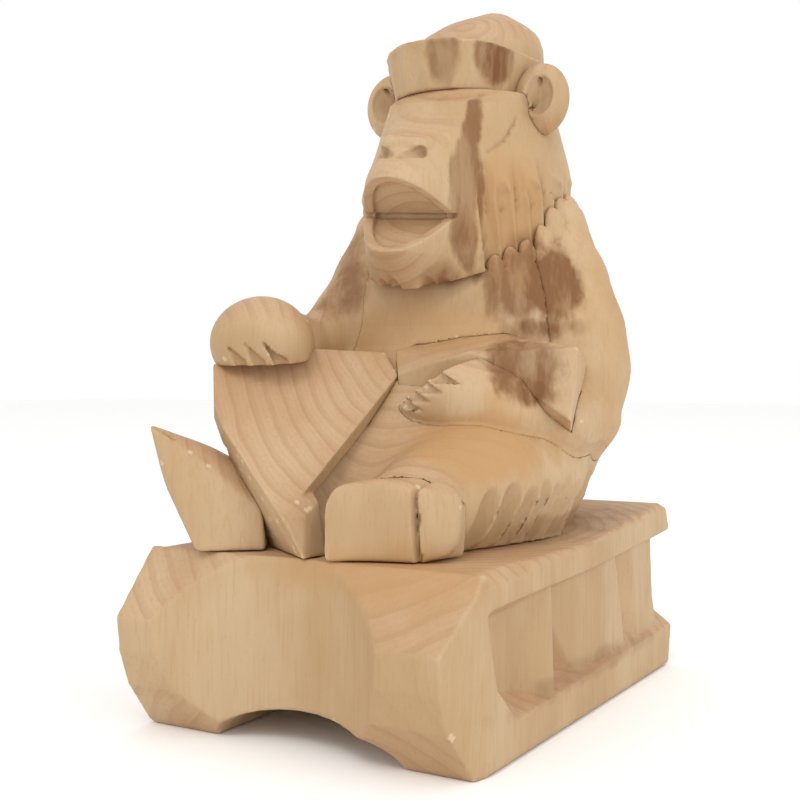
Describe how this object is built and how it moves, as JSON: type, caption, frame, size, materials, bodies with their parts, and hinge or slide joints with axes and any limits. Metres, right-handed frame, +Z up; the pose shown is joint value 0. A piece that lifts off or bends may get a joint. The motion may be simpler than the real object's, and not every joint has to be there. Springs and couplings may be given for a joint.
{
  "type": "carved wooden figurine",
  "caption": "Carved wooden bear in a peaked cap, sitting on a chunky sled with its legs out and mouth open, holding a large open book across its lap.",
  "frame": {"origin": "middle of the figure's footprint, on the plane that the sled's runners stand on", "axes": "+Z up, -Y out of the bear's face and the sled's front, +X to the bear's left"},
  "size_m": [0.0784, 0.112, 0.1558],
  "materials": {
    "lime_wood": "bare carved lime, satin",
    "dowel_wood": "plain turned beech"
  },
  "bodies": {
    "root": {"sled_base": "lime_wood", "bear_body": "lime_wood", "bear_head": "lime_wood", "cap": "lime_wood", "left_ear": "lime_wood", "right_ear": "lime_wood", "left_arm": "lime_wood", "right_arm": "lime_wood", "left_foot": "lime_wood", "right_foot": "lime_wood", "left_leaf": "lime_wood", "right_leaf": "lime_wood", "base_dowel_front": "dowel_wood", "base_dowel_back": "dowel_wood", "neck_dowel": "dowel_wood", "cap_dowel": "dowel_wood", "left_arm_dowel": "dowel_wood", "right_arm_dowel": "dowel_wood", "left_foot_dowel": "dowel_wood", "right_foot_dowel": "dowel_wood", "leaf_dowel": "dowel_wood"}
  },
  "joints": []
}
